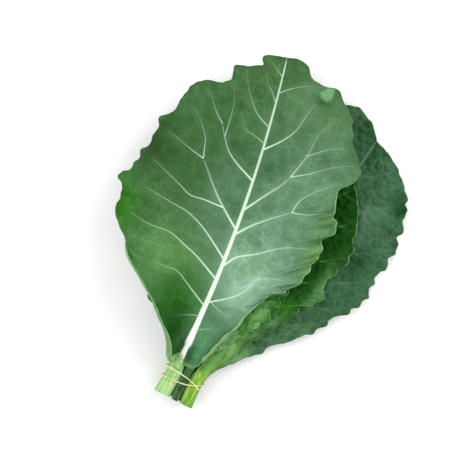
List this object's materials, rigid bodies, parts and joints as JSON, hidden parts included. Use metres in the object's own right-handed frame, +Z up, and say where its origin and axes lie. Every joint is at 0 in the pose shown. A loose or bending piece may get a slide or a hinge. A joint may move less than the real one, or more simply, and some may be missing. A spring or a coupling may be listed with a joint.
{
  "type": "bunch of collard greens",
  "caption": "Tied bunch of large ruffled collard leaves lying flat, with cut stems, pale midribs and a rubber band wound round the stems.",
  "frame": {"origin": "bottom centre of the whole bunch's bounding box, on the surface that it lies on", "axes": "+Y runs from the cut stem ends to the leaf tips, +Z up out of the surface, +X to the right as seen from above with the tips away from the viewer"},
  "size_m": [0.2796, 0.3582, 0.0645],
  "materials": {
    "leaf_bottom": "fresh green leaf, waxy satin",
    "leaf_right": "fresh grey-green leaf, waxy satin",
    "leaf_middle": "fresh deep green leaf, waxy satin",
    "leaf_second": "fresh bright green leaf, waxy satin",
    "leaf_front": "fresh green leaf with pale veins and a bluish wax bloom",
    "rubber": "matte natural rubber"
  },
  "bodies": {
    "root": {"leaf_bottom": "leaf_bottom", "leaf_right": "leaf_right", "leaf_middle": "leaf_middle", "leaf_second": "leaf_second", "leaf_front": "leaf_front", "tie_band": "rubber"}
  },
  "joints": []
}
